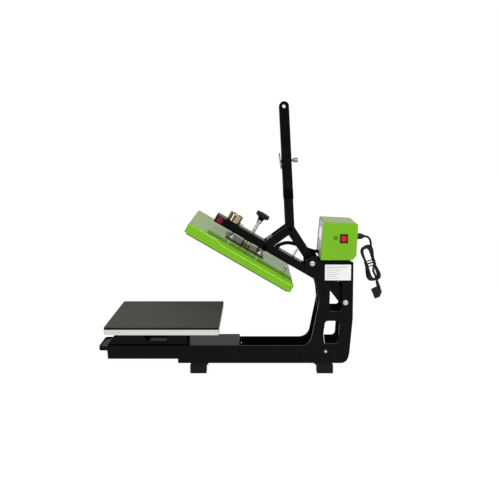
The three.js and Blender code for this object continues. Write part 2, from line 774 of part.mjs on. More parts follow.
function controlPanel(inner) {
  const face = new THREE.Group();
  face.position.set(0, ...BOX_FOOT);
  face.rotation.x = -BOX_FACE_LEAN;
  machine.add(face);
  const keys = ['set', 'down', 'up'].map((name, i) => [name, -26 + 26 * i]);
  const panel = cut(
    block([-inner + GAP, inner - GAP], [1.5, 4], [4.5, 128]),
    block([-45, 45], [1, 2.5], [62, 104]),
    ...keys.map(([, x]) => rod('y', [x, 36], 6.5, -10, 10)),
  );
  piece('control_panel', panel, MATERIAL.grey, face);
  piece('control_display', block([-44.6, 44.6], [1, 2.2], [62.4, 103.6]), MATERIAL.glass, face);
  for (const [name, x] of keys) {
    const key = turned('y', [x, 36], [[5.2, -0.6], [6, 0.2], [6, 6], [8, 6], [8, 7]]);
    piece(`key_${name}`, key, MATERIAL.plastic, face);
  }
}

function boxContents() {
  const face = BOX_HALF + GAP;
  const [sy, sz] = SWITCH_CENTRE;
  const bezel = cut(
    join(
      block([face, face + 2.5], [sy - 13.3, sy + 13.3], [sz - 15, sz + 15]),
      block([face - 24, face + 1], [sy - 10.7, sy + 10.7], [sz - 12.7, sz + 12.7]),
    ),
    block([face - 6, face + 5], [sy - 9.5, sy + 9.5], [sz - 11.5, sz + 11.5]),
  );
  piece('rocker_bezel', bezel, MATERIAL.plastic);
  const rocker = outline([[-10.5, -2], [0, -5, 3], [10.5, -2], [10.5, 1.5], [0, 3.2, 30], [-10.5, 1.5]]);
  const half = 9;
  const button = new THREE.ExtrudeGeometry(rocker, { depth: 2 * half, bevelEnabled: false });
  button.translate(0, 0, -half).rotateX(Math.PI / 2).rotateY(Math.PI / 2);
  const seat = new THREE.Group();
  seat.position.set(face + 0.5, sy, sz);
  seat.rotation.y = THREE.MathUtils.degToRad(8);
  machine.add(seat);
  piece('rocker_switch', button, MATERIAL.red, seat);

  const cap = [[6, face], [6, face + 3], [4, face + 4.5]];
  const fuse = turned('x', FUSE, [[4, 62], [4, face], ...cap]);
  piece('fuse_holder', fuse, MATERIAL.plastic);
  piece('control_board', block([-60, 50], [345, 348], [412, 515]), MATERIAL.board);
  piece('solid_state_relay', block([-45, 13], [395, 420], [430, 475]), MATERIAL.plastic);
  const gland = turned('y', [0, GLAND.z], [
    [7.5, GLAND.start - 5],
    [7.5, GLAND.start],
    [12, GLAND.start + 1.5],
    [12, GLAND.start + 8],
    [10.5, GLAND.start + 9],
    [10.5, GLAND.end - 8],
    [6.5, GLAND.end],
  ]);
  piece('cable_gland', gland, MATERIAL.plastic);
}

// ---- cables -------------------------------------------------------------------------------

function tube(name, points, diameter, sides, steps, material) {
  const path = new THREE.CatmullRomCurve3(points.map((p) => new THREE.Vector3(...p)), false, 'centripetal');
  const section = new THREE.Shape(circle(0, 0, diameter / 2, sides).getPoints().slice(0, sides));
  piece(name, new THREE.ExtrudeGeometry(section, { steps, extrudePath: path }), material);
}

// The heater's conduit rises from the arm and passes back to the control box.
function heaterConduit() {
  tube('heater_conduit', [
    [0, ...fromHead([-296, ARM_TOP + GAP])],
    [0, ...fromHead([-296, ARM_TOP + 8])],
    [0, 177, 447],
    [0, 199, 451],
    [0, 228, 445],
    [0, 258, 432],
    [0, 285, 422],
    [0, 306.2, 420],
  ], 13, 10, 20, MATERIAL.rubber);
}

const PLUG = [512, 271]; // Y and Z of the plug's centre
const HANK = { centre: [0, 488, 378], length: 134, width: 48, thick: 36, lean: 0.307 };

function mainsCord() {
  tube('mains_cord', [
    [0, GLAND.end + GAP, GLAND.z],
    [0, GLAND.end + 5, GLAND.z - 0.1],
    [0, 479.5, 470.5],
    [0, 487, 461.5],
    [0, 490.6, 450],
    [0, 490.6, 440.7],
  ], CORD_DIAMETER, 10, 12, MATERIAL.rubber);
  const { centre, length, width, thick, lean } = HANK;
  const straight = length - width;
  const round = outline([
    [-width / 2, -straight / 2 - width / 2, width / 2 - 0.1],
    [width / 2, -straight / 2 - width / 2, width / 2 - 0.1],
    [width / 2, straight / 2 + width / 2, width / 2 - 0.1],
    [-width / 2, straight / 2 + width / 2, width / 2 - 0.1],
  ]);
  const hank = acrossX(round, -thick / 2, thick / 2);
  hank.rotateX(lean).translate(...centre);
  piece('mains_cord_hank', hank, MATERIAL.rubber);
}

// An angled plug: a round body with two pins, and a tapered neck towards the hank.
function mainsPlug() {
  const [y, z] = PLUG;
  const body = turned('x', [y, z], [[16, -9], [18.5, -7], [18.5, 7], [15, 11]], 28);
  const neck = turned('z', [0, y + 1], [[9, z + 8], [8.5, z + 20], [5.2, z + 42.3]], 16);
  const pins = [-9.5, 9.5].map((side) => rod('x', [y + side, z], 2.4, -28, -6, 12));
  piece('mains_plug', join(body, neck, ...pins), MATERIAL.rubber);
}

// ---- assembly -----------------------------------------------------------------------------

frame();
feet();
shaft('arm_pivot_shaft', ARM_PIVOT, PIVOT_RADIUS, 11);
shaft('handle_pivot_shaft', HANDLE_PIVOT, PIVOT_RADIUS, 11);
shaft('strut_foot_pin', STRUT_FOOT, 5, 6.3);
labelPlate();
pressArm();
electromagnet();
releaseButton();
pressureKnob();
head();
handle();
armature();
toggleLink();
gasStrut();
carriage();
pullHandle();
platen();
drawerSlides();
controlBox();
heaterConduit();
mainsCord();
mainsPlug();

export default machine;
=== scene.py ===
"""The looks of a clamshell heat press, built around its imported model. Lengths are in millimetres
until a mesh is made, and in metres in the scene."""
import json
import math

import bmesh
import bpy
from mathutils import Matrix, Vector

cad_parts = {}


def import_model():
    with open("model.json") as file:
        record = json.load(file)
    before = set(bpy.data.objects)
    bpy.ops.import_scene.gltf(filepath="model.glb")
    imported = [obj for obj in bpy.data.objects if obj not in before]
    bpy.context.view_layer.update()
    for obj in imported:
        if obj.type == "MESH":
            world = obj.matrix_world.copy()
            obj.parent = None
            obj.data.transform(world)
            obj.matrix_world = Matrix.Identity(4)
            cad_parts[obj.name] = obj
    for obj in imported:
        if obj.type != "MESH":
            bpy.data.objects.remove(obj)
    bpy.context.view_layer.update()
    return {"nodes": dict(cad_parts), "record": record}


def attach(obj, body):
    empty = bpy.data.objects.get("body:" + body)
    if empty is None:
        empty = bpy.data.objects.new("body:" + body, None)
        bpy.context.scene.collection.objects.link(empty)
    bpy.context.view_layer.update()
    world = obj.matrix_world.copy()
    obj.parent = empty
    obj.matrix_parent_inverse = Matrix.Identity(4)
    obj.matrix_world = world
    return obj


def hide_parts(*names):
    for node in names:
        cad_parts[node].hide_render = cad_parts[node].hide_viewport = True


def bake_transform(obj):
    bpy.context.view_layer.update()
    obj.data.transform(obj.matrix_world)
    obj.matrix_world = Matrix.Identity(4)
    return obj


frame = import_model()
BODY_OF = {
    node: body
    for body, names in frame["record"]["behaviour"]["bodies"].items()
    for node in names
}
SLOT_OF = {s["node"]: s["material_slot"] for s in frame["record"]["subparts"]}
MM = 0.001

# ---- places, as the solid model has them ---------------------------------------------------

OPEN = math.radians(30.25)
ARM_PIVOT = (395.9, 251.0)
KNEE = (204.06, 505.51)
LEAN = math.radians(3)
HEAD = Matrix.Translation((0, *ARM_PIVOT)) @ Matrix.Rotation(-OPEN, 4, "X")
HANDLE = Matrix.Translation((0, *KNEE)) @ Matrix.Rotation(LEAN, 4, "X")
ALONG_X = Matrix.Rotation(math.pi / 2, 4, "Y")
ALONG_Y = Matrix.Rotation(-math.pi / 2, 4, "X")
COVER = {"half": 202, "front": -603, "rear": -204, "bottom": -44, "top": -10}  # in the head frame
WALLS = (31, 23)  # heights of the cover's side wall, ahead of its shoulder and behind it
SHOULDER = (-498, -478)
# corners of the control box from the side, as (y, z, radius)
BOX = [(304.5, 403, 4), (315.5, 535.5, 5), (433, 529.5, 10), (428, 417, 8), (414, 403, 6)]
BOX_HOLLOW = [(292.5, 405.5, 1), (300, 533.8, 1), (430.5, 527.1, 8), (425.5, 418, 7),
              (413, 405.5, 5)]
BOX_HALF = 85
BOX_BEND = 3.2
SWITCH_HOLE = ((78, 373.3, 464.5), (90, 395.3, 490.5))
FUSE = (356.1, 479.4)
GLAND_Z, GLAND_END = 474, 465
LEVER_PIVOT = (280.1, 387.6)
FRAME_HALF = 60.3
STRUT_FOOT = Vector((0, 328.5, 78))
# places on the arm and the head, in the head frame
STRUT_EYE = (-122, 18)
LINK_PIN = (-336.8, 24.5)
RELEASE = (-519, 26.5)
KNOB_Y = -396
MAGNET_Y = -475
GUIDE_Y = -232
HOSE_Y = -296
ARM_TOP = 40.3
STUD_X, STUD_Y = (-60, 60), (-455, -345)
# places on the lever, from the knee
GRIP_REACH = 421
ARMATURE_REACH, ARMATURE_OFFSET, ARMATURE_TILT = 234, -19.5, math.radians(4.44)


def at(x, y, z):
    """A place moved by x, y and z."""
    return Matrix.Translation((x, y, z))


# ---- camera and stage ------------------------------------------------------------------------

scene = bpy.context.scene
ELEVATION = math.radians(5.637)
TARGET = Vector((0, 0.083, 0.584))
DISTANCE = 2.533

lens = bpy.data.cameras.new("camera")
lens.sensor_width = 36
lens.lens = 52.183
lens.shift_x = -0.01025
lens.shift_y = -0.09
camera = bpy.data.objects.new("camera", lens)
camera.location = TARGET + DISTANCE * Vector((math.cos(ELEVATION), 0, math.sin(ELEVATION)))
camera.rotation_euler = (math.pi / 2 - ELEVATION, 0, math.pi / 2)
scene.collection.objects.link(camera)
scene.camera = camera
scene.view_settings.view_transform = "Standard"


def area_light(name, place, aim, width, height, power):
    """A rectangular light that faces its aim."""
    data = bpy.data.lights.new(name, "AREA")
    data.shape, data.size, data.size_y = "RECTANGLE", width, height
    data.energy = power
    light = bpy.data.objects.new(name, data)
    light.location = place
    light.rotation_euler = (Vector(aim) - Vector(place)).to_track_quat("-Z", "Y").to_euler()
    scene.collection.objects.link(light)


area_light("top_softbox", (0.2, 0.0, 2.8), (0, 0, 0.3), 2.0, 2.4, 10)
area_light("front_softbox", (2.2, 0.35, 2.0), (0, 0, 0.45), 2.6, 0.5, 44)
area_light("left_softbox", (2.0, -2.0, 1.5), (0, -0.1, 0.4), 0.7, 1.4, 12)
area_light("right_softbox", (2.0, 2.2, 1.5), (0, 0.2, 0.4), 0.7, 1.4, 12)

# where the change starts and ends along the axis, and the light at each
ROOM_LIGHT = (-0.6, 0.25, 0.56, 0.10)
CEILING_LIGHT = (0.35, 0.95, 0.0, 0.32)


def world():
    """A white studio: pale wall behind, open ceiling, and a dim room on the camera's side."""
    made = bpy.data.worlds.new("studio")
    made.use_nodes = True
    tree = made.node_tree
    tree.nodes.clear()
    add, link = tree.nodes.new, tree.links.new
    coords, split = add("ShaderNodeTexCoord"), add("ShaderNodeSeparateXYZ")
    link(coords.outputs["Generated"], split.inputs[0])

    def ramp(axis, start, end, low, high):
        """The light's strength, from low at start to high at end of an axis."""
        node = add("ShaderNodeMapRange")
        link(split.outputs[axis], node.inputs["Value"])
        for socket, value in zip(("From Min", "From Max", "To Min", "To Max"),
                                 (start, end, low, high)):
            node.inputs[socket].default_value = value
        return node

    room, ceiling, most = ramp("X", *ROOM_LIGHT), ramp("Z", *CEILING_LIGHT), add("ShaderNodeMath")
    most.operation = "MAXIMUM"
    link(room.outputs[0], most.inputs[0])
    link(ceiling.outputs[0], most.inputs[1])
    lit, plain = add("ShaderNodeBackground"), add("ShaderNodeBackground")
    lit.inputs["Color"].default_value = (1.0, 0.96, 0.89, 1)
    link(most.outputs[0], lit.inputs["Strength"])
    plain.inputs["Color"].default_value = (1, 1, 1, 1)
    plain.inputs["Strength"].default_value = 1.0
    mix, path, out = (add("ShaderNode" + kind)
                      for kind in ("MixShader", "LightPath", "OutputWorld"))
    link(path.outputs["Is Camera Ray"], mix.inputs[0])
    link(lit.outputs[0], mix.inputs[1])
    link(plain.outputs[0], mix.inputs[2])
    link(mix.outputs[0], out.inputs["Surface"])
    scene.world = made


world()

# ---- materials ------------------------------------------------------------------------------


def finish(name, color, rough, metal=0.0, specular=0.5, coat=0.0, coat_rough=0.06, vary=0.08,
           scale=30.0, rough_vary=0.08, grain=0.0, grain_scale=900.0, stretch=(1, 1, 1),
           fleck=None, emission=None):
    """A painted, moulded or metal surface with cloudy tone, uneven gloss and fine grain."""
    made = bpy.data.materials.new(name)
    made.use_nodes = True
    tree = made.node_tree
    add, link = tree.nodes.new, tree.links.new
    shader = tree.nodes["Principled BSDF"]
    settings = {
        "Coat IOR": 1.3, "Metallic": metal, "Specular IOR Level": specular, "Coat Weight": coat,
        "Coat Roughness": coat_rough,
    }
    for socket, value in settings.items():
        shader.inputs[socket].default_value = value
    if emission:
        shader.inputs["Emission Color"].default_value = (*emission[:3], 1)
        shader.inputs["Emission Strength"].default_value = emission[3]
    coords, mapping = add("ShaderNodeTexCoord"), add("ShaderNodeMapping")
    mapping.inputs["Scale"].default_value = stretch
    link(coords.outputs["Object"], mapping.inputs["Vector"])

    def noise(size, detail):
        """A noise texture in the piece's own coordinates."""
        node = add("ShaderNodeTexNoise")
        node.inputs["Scale"].default_value = size
        node.inputs["Detail"].default_value = detail
        link(mapping.outputs[0], node.inputs["Vector"])
        return node

    cloud = noise(scale, 4)
    ramp = add("ShaderNodeValToRGB")
    ramp.color_ramp.elements[0].position = 0.3
    ramp.color_ramp.elements[1].position = 0.7
    ramp.color_ramp.elements[0].color = (*[c * (1 - vary) for c in color], 1)
    ramp.color_ramp.elements[1].color = (*[min(1, c * (1 + vary)) for c in color], 1)
    link(cloud.outputs["Fac"], ramp.inputs["Fac"])
    tone = ramp.outputs["Color"]
    if fleck:
        spots, mask, mix = noise(fleck[3], 2), add("ShaderNodeMapRange"), add("ShaderNodeMix")
        mix.data_type = "RGBA"
        mask.inputs["From Min"].default_value = 0.58
        mask.inputs["From Max"].default_value = 0.66
        link(spots.outputs["Fac"], mask.inputs["Value"])
        link(mask.outputs[0], mix.inputs["Factor"])
        link(tone, mix.inputs["A"])
        mix.inputs["B"].default_value = (*fleck[:3], 1)
        tone = mix.outputs["Result"]
    link(tone, shader.inputs["Base Color"])
    gloss, spread = noise(scale * 2.3, 3), add("ShaderNodeMapRange")
    spread.inputs["From Min"].default_value = 0.3
    spread.inputs["From Max"].default_value = 0.7
    spread.inputs["To Min"].default_value = max(0.02, rough - rough_vary)
    spread.inputs["To Max"].default_value = min(1, rough + rough_vary)
    link(gloss.outputs["Fac"], spread.inputs["Value"])
    link(spread.outputs[0], shader.inputs["Roughness"])
    if grain:
        fine, bump = noise(grain_scale, 3), add("ShaderNodeBump")
        bump.inputs["Strength"].default_value = grain
        bump.inputs["Distance"].default_value = 0.0004
        link(fine.outputs["Fac"], bump.inputs["Height"])
        link(bump.outputs[0], shader.inputs["Normal"])
    return made


COAT = finish("black_powder_coat", (0.0026, 0.0026, 0.0028), 0.22, specular=0.07, vary=0.2,
              rough_vary=0.04, grain=0.08, grain_scale=1400)
GLOSS_BLACK = finish("gloss_black", (0.0006, 0.0006, 0.0008), 0.10, specular=0.03, vary=0.2,
                     grain=0.02)
GREEN = finish("lime_paint", (0.15, 0.405, 0.001), 0.34, specular=0.12, coat=0.9, coat_rough=0.10,
               vary=0.03, scale=14, rough_vary=0.04)
# painted highlight: a lighter, glossier copy of the lime paint, standing in for the light caught
# along the cover's folds
GREEN_FOLD_HIGHLIGHT = finish("lime_fold_painted_highlight", (0.36, 0.66, 0.09), 0.25, specular=0.4, coat=1.0, vary=0.03,
                    scale=14)
RUBBER = finish("black_rubber", (0.006, 0.006, 0.0065), 0.6, specular=0.12, vary=0.25, grain=0.35,
                grain_scale=1800)
HOSE = finish("hose_nylon", (0.004, 0.004, 0.0045), 0.6, specular=0.05, vary=0.2)
CABLE = finish("cable_jacket", (0.006, 0.006, 0.0065), 0.4, specular=0.2, vary=0.2, grain=0.12,
               grain_scale=1500)
PLASTIC = finish("black_plastic", (0.005, 0.005, 0.0055), 0.32, specular=0.25, vary=0.2, grain=0.2,
                 grain_scale=1600)
PANEL = finish("panel_plastic", (0.62, 0.62, 0.59), 0.4, vary=0.04, grain=0.1, grain_scale=1500)
LABEL = finish("label_film", (0.78, 0.775, 0.76), 0.4, vary=0.03, grain=0.03)
PRINT = finish("label_print", (0.30, 0.30, 0.28), 0.5, vary=0.15)
RED = finish("red_lens", (0.48, 0.004, 0.008), 0.25, specular=0.2, coat=0.3, vary=0.12, grain=0.03)
CRIMSON = finish("crimson_button", (0.20, 0.003, 0.016), 0.28, specular=0.2, coat=0.2, vary=0.15,
                 grain=0.03)
FUSE_GREEN = finish("fuse_cap_green", (0.10, 0.30, 0.01), 0.35, vary=0.1, grain=0.03)
GLASS = finish("display_glass", (0.008, 0.022, 0.018), 0.08, coat=1.0, vary=0.3, grain=0.01)
PAD = finish("silicone_sponge", (0.064, 0.065, 0.059), 0.72, specular=0.25, vary=0.10, scale=55,
             rough_vary=0.08, grain=0.55, grain_scale=1100, fleck=(0.095, 0.096, 0.088, 420))
# painted shade: a near-black copy of the sponge for the pad's sides, standing in for the shadow
# they lie in
PAD_SIDE_SHADE = finish("sponge_side_painted_shade", (0.005, 0.005, 0.005), 0.85, specular=0.1, vary=0.2, grain=0.8,
                  grain_scale=1500)
PTFE = finish("non_stick_coat", (0.003, 0.003, 0.003), 0.5, specular=0.03, vary=0.2, grain=0.12,
              grain_scale=2000)
WOOL = finish("mineral_wool", (0.62, 0.54, 0.34), 0.95, vary=0.2, scale=90, grain=1.0,
              grain_scale=500)
BOARD = finish("circuit_board", (0.015, 0.11, 0.03), 0.4, vary=0.2, scale=120)
STEEL = finish("zinc_steel", (0.60, 0.60, 0.59), 0.26, metal=1.0, vary=0.1, scale=80,
               rough_vary=0.08, grain=0.12, grain_scale=1200)
DARK_STEEL = finish("black_oxide", (0.045, 0.045, 0.048), 0.33, metal=0.9, vary=0.25, scale=120,
                    grain=0.1)
DULL_STEEL = finish("dull_steel", (0.24, 0.24, 0.23), 0.34, metal=1.0, vary=0.25, scale=60,
                    rough_vary=0.1, grain=0.1)
CHROME = finish("hard_chrome", (0.72, 0.72, 0.72), 0.16, metal=1.0, vary=0.05, rough_vary=0.04)
ALUMINIUM = finish("machined_aluminium", (0.66, 0.645, 0.60), 0.42, metal=0.6, vary=0.05, scale=25,
                   rough_vary=0.06, grain=0.2, grain_scale=260, stretch=(1, 0.15, 14))
ZINC = finish("zinc_yellow", (0.42, 0.345, 0.225), 0.2, metal=1.0, vary=0.2, scale=60,
              rough_vary=0.06, grain=0.08, grain_scale=420, stretch=(1, 1, 0.1))
BRASS = finish("nickel_brass", (0.68, 0.60, 0.42), 0.24, metal=1.0, vary=0.1, scale=90, grain=0.06)
FLOOR = finish("studio_floor", (0.10, 0.10, 0.10), 0.9, specular=0.0, vary=0.004, scale=2,
               emission=(1, 1, 1, 0.975))

# ---- mesh helpers ------------------------------------------------------------------------------


def adopt(obj, body, replaces=(), slot=None):
    """Hangs a piece on its body and hides the solids it stands for; the slot is worked out but not
    used.
    """
    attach(obj, body)
    if replaces:
        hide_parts(*replaces)
        slot = slot or SLOT_OF[replaces[0]]
    return obj


def to_object(name, bm, material, sharp=38, weighted=True):
    """Turns a bmesh in millimetres into a smooth object in metres."""
    bmesh.ops.recalc_face_normals(bm, faces=bm.faces)
    for vert in bm.verts:
        vert.co *= MM
    mesh = bpy.data.meshes.new(name)
    bm.to_mesh(mesh)
    bm.free()
    mesh.materials.append(material)
    mesh.shade_smooth()
    mesh.set_sharp_from_angle(angle=math.radians(sharp))
    obj = bpy.data.objects.new(name, mesh)
    scene.collection.objects.link(obj)
    if weighted:
        obj.modifiers.new("normals", "WEIGHTED_NORMAL").keep_sharp = True
    return obj


def round_edges(bm, width, segments, least=32):
    """Bevels the edges that turn by more than least degrees."""
    bm.normal_update()
    edges = [
        e for e in bm.edges
        if len(e.link_faces) == 2 and e.calc_face_angle(0) > math.radians(least)
    ]
    if edges:
        bmesh.ops.bevel(bm, geom=edges, offset=width, segments=segments, profile=0.5,
                        affect="EDGES", clamp_overlap=True)


def refined(node, material, width=0.8, segments=2, sharp=38):
    """The solid model's shape with its edges broken and its curves smooth."""
    bm = bmesh.new()
    bm.from_mesh(frame["nodes"][node].data)
    bmesh.ops.remove_doubles(bm, verts=bm.verts, dist=2e-6)
    for vert in bm.verts:
        vert.co /= MM
    bmesh.ops.dissolve_limit(bm, angle_limit=math.radians(1.0), verts=bm.verts, edges=bm.edges)
    round_edges(bm, width, segments)
    adopt(to_object(f"{node}_shell", bm, material, sharp), BODY_OF[node], [node])


def add_rings(bm, rings, caps=True):
    """Joins rings of points into a skin, with flat ends where caps is true."""
    rows = [[bm.verts.new(p) for p in ring] for ring in rings]
    count = len(rows[0])
    for low, high in zip(rows, rows[1:]):
        for i in range(count):
            j = (i + 1) % count
            bm.faces.new((low[i], low[j], high[j], high[i]))
    if caps:
        bm.faces.new(rows[0][::-1])
        bm.faces.new(rows[-1])
    return rows


def add_turned(bm, place, profile, sides=48):
    """A body of revolution about its place's Z axis, from (radius, height) pairs."""
    rings = []
    for radius, height in profile:
        ring = []
        for i in range(sides):
            angle = 2 * math.pi * i / sides
            point = Vector((radius * math.cos(angle), radius * math.sin(angle), height))
            ring.append(place @ point)
        rings.append(ring)
    add_rings(bm, rings)


def add_box(bm, place, low, high, width, segments=2):
    """A box between two corners, with rounded edges."""
    made = bmesh.ops.create_cube(bm, size=1)
    size = Vector(high) - Vector(low)
    middle = (Vector(high) + Vector(low)) / 2
    for vert in made["verts"]:
        vert.co = place @ (middle + Vector(c * s for c, s in zip(vert.co, size)))
    edges = list({e for v in made["verts"] for e in v.link_edges})
    bmesh.ops.bevel(bm, geom=edges, offset=width, segments=segments, profile=0.5, affect="EDGES")


def hex_nut(bm, place, across, low, high):
    """A hexagon nut whose corners are chamfered."""
    r, inner = across / math.sqrt(3), across / 2
    add_turned(bm, place, [(inner, low), (r, low + 0.12 * across), (r, high - 0.12 * across),
                           (inner, high)], sides=6)


def add_thread(bm, place, radius, low, high, pitch, depth=0.55, sides=28):
    """A screw thread: a rod whose radius follows a helix."""
    steps = int((high - low) / pitch * 6)
    rings = []
    for k in range(steps + 1):
        z = low + (high - low) * k / steps
        ring = []
        for i in range(sides):
            turn = i / sides
            phase = ((z - low) / pitch - turn) % 1.0
            r = radius - depth * abs(2 * phase - 1)
            angle = 2 * math.pi * turn
            ring.append(place @ Vector((r * math.cos(angle), r * math.sin(angle), z)))
        rings.append(ring)
    add_rings(bm, rings)


def catmull(points, per=8):
    """A smooth curve through points."""
    points = [Vector(p) for p in points]
    points = [2 * points[0] - points[1], *points, 2 * points[-1] - points[-2]]
    smooth = []
    for a, b, c, d in zip(points, points[1:], points[2:], points[3:]):
        for k in range(per):
            t = k / per
            smooth.append(0.5 * (2 * b + (c - a) * t + (2 * a - 5 * b + 4 * c - d) * t * t
                                 + (3 * b - a - 3 * c + d) * t ** 3))
    return [*smooth, points[-2]]


def resample(points, step):
    """Evenly spaced points along a line of points."""
    lengths = [0.0]
    for a, b in zip(points, points[1:]):
        lengths.append(lengths[-1] + (b - a).length)
    count = max(2, round(lengths[-1] / step))
    even, k = [], 0
    for i in range(count + 1):
        want = lengths[-1] * i / count
        while k < len(lengths) - 2 and lengths[k + 1] < want:
            k += 1
        span = lengths[k + 1] - lengths[k] or 1
        even.append(points[k].lerp(points[k + 1], (want - lengths[k]) / span))
    return even


def add_tube(bm, points, radius, sides=16):
    """A round tube along a line of points. radius is a number, or a list of one per point."""
    radii = radius if isinstance(radius, list) else [radius] * len(points)
    normal, rings = None, []
    for i, point in enumerate(points):
        tangent = (points[min(i + 1, len(points) - 1)] - points[max(i - 1, 0)]).normalized()
        if normal is None:
            normal = tangent.orthogonal().normalized()
        normal = (normal - tangent * normal.dot(tangent)).normalized()
        other = tangent.cross(normal)
        ring = []
        for k in range(sides):
            angle = 2 * math.pi * k / sides
            ring.append(point + radii[i] * (math.cos(angle) * normal + math.sin(angle) * other))
        rings.append(ring)
    add_rings(bm, rings)


def cut_with(obj, cutter_bm):
    """Cuts a bmesh's shape, in millimetres, out of an object."""
    cutter = to_object("cutter", cutter_bm, PLASTIC, weighted=False)
    for modifier in list(obj.modifiers):
        obj.modifiers.remove(modifier)
    cut = obj.modifiers.new("cut", "BOOLEAN")
    cut.object, cut.solver = cutter, "EXACT"
    bpy.context.view_layer.update()
    mesh = bpy.data.meshes.new_from_object(obj.evaluated_get(bpy.context.evaluated_depsgraph_get()))
    obj.modifiers.remove(cut)
    old, obj.data = obj.data, mesh
    bpy.data.meshes.remove(old)
    bpy.data.objects.remove(cutter)
    mesh.shade_smooth()
    mesh.set_sharp_from_angle(angle=math.radians(30))
    obj.modifiers.new("normals", "WEIGHTED_NORMAL").keep_sharp = True


def rounded_outline(corners, steps=6):
    """Points round a polygon of (y, z, radius) corners."""
    points = []
    for i, (y, z, radius) in enumerate(corners):
        here = Vector((y, z))
        before = (Vector(corners[i - 1][:2]) - here).normalized()
        after = (Vector(corners[(i + 1) % len(corners)][:2]) - here).normalized()
        opening = before.angle(after)
        reach = radius / math.tan(opening / 2)
        centre = here + (before + after).normalized() * (radius / math.sin(opening / 2))
        a, b = here + before * reach - centre, here + after * reach - centre
        turn = b.angle_signed(a)
        for k in range(steps + 1):
            t = turn * k / steps
            points.append(centre + Vector((a.x * math.cos(t) - a.y * math.sin(t),
                                           a.x * math.sin(t) + a.y * math.cos(t))))
    return points


def inset_corners(corners, d):
    """Moves every side of a polygon inwards by d, keeping its corner radii near."""
    moved = []
    for i, (y, z, radius) in enumerate(corners):
        here = Vector((y, z))
        before = (here - Vector(corners[i - 1][:2])).normalized()
        after = (Vector(corners[(i + 1) % len(corners)][:2]) - here).normalized()
        n1, n2 = Vector((before.y, -before.x)), Vector((after.y, -after.x))
        shift = (n1 + n2) / (1 + n1.dot(n2))
        moved.append((here.x + shift.x * d, here.y + shift.y * d, max(0.8, radius - d)))
    return moved


# ---- mains cord ------------------------------------------------------------------------------

CORD_RADIUS = 4.0
HANK_MIDDLE, HANK_LEAN = (0, 488, 378), 0.307
HANK_TURNS, HANK_STEPS = 3.1, 28
HANK = Matrix.Translation(HANK_MIDDLE) @ Matrix.Rotation(HANK_LEAN, 4, "X")


def cord_route():
    """Out of the gland, down into the hank, round it, and down its middle to the plug."""
    lead = [(0, GLAND_END + 0.4, GLAND_Z), (0, 470, 473.9), (0, 479.5, 470.5), (-1, 486.4, 461.5),
            (-5, 489.8, 450), (-10, 491.4, 439)]
    winding = []
    steps = int(HANK_TURNS * HANK_STEPS)
    start = 0.30 * math.pi
    for k in range(steps + 1):
        angle = start + 2 * math.pi * HANK_TURNS * k / steps
        turn = (angle - start) / (2 * math.pi)
        along = (62.5 - 1.0 * turn) * math.cos(angle)
        width = 36.5 - 1.6 * turn + 1.5 * math.sin(2.4 * turn + 0.5)
        across = width * math.sin(angle) * (1 - 0.6 * (1 - math.cos(angle) ** 2))
        tilt = 0.105 * math.sin(2.1 * turn)
        layer = -13.2 + 8.6 * turn
        winding.append(HANK @ Vector((layer, across + tilt * along, along)))
    tail = [(11.5, 497.5, 356), (7, 503.5, 341), (2, 509, 328), (0, 512.6, 317), (0, 513.2, 306)]
    return resample(catmull([*lead, *winding, *tail], per=6), 5.0)


route = cord_route()
bm = bmesh.new()
add_tube(bm, route, CORD_RADIUS, sides=16)
cord = adopt(to_object("mains_lead", bm, CABLE, sharp=60, weighted=False), "frame",
             ["mains_cord", "mains_cord_hank"], "rubber")


def cord_tie():
    """Two turns of flat tie round the middle of the hank."""
    bm = bmesh.new()
    section = ((-0.7, -1.9), (0.7, -1.9), (0.9, 0), (0.7, 1.9), (-0.7, 1.9))
    for level in (-5.0, 5.5):
        rings = []
        for i in range(40):
            angle = 2 * math.pi * i / 40
            c, s = math.cos(angle), math.sin(angle)
            centre = Vector((20.5 * math.copysign(abs(c) ** 0.6, c),
                             19.6 * math.copysign(abs(s) ** 0.6, s), level + 0.6 * s))
            out = Vector((c, s, 0))
            rings.append([HANK @ (centre + out * a + Vector((0, 0, b))) for a, b in section])
        rows = add_rings(bm, rings, caps=False)
        for i in range(5):
            j = (i + 1) % 5
            bm.faces.new((rows[-1][i], rows[-1][j], rows[0][j], rows[0][i]))
    return adopt(to_object("cord_tie", bm, PLASTIC), "frame", slot="plastic")


def mains_plug():
    """An angled plug with a flat-sided body, a ribbed neck and two pins."""
    bm = bmesh.new()
    body = [(506.3, 251.5, 3), (492.8, 284, 3), (510.4, 293.7, 5), (531.9, 280.5, 6),
            (524, 258.8, 4)]
    rings = []
    for inset, x in ((2.4, -10), (0.7, -9), (0, -7), (0, 5), (1.2, 8.5), (3.0, 10.6), (5.5, 11.4)):
        rings.append([Vector((x, p.x, p.y)) for p in rounded_outline(inset_corners(body, inset))])
    add_rings(bm, rings)
    path = resample(catmull([(0, 517, 276), (0, 520, 287), (0, 517, 300), (0, 513.1, 313.3)]), 1.5)
    count = len(path)
    radii = [9.3 - 4.2 * (i / count) ** 0.7 + (0.4 if i % 4 < 2 else -0.3) * (i > count * 0.35)
             for i in range(count)]
    add_tube(bm, path, radii, sides=28)
    for side in (-9.5, 9.5):
        add_turned(bm, at(0, 512, 271) @ Matrix.Rotation(math.radians(-31), 4, "X") @ at(0, side, 0)
                   @ ALONG_X, [(1.4, -28), (2.4, -26.5), (2.4, -9)], 20)
    return adopt(to_object("mains_plug_body", bm, CABLE), "frame", ["mains_plug"])


tie = cord_tie()
plug = mains_plug()

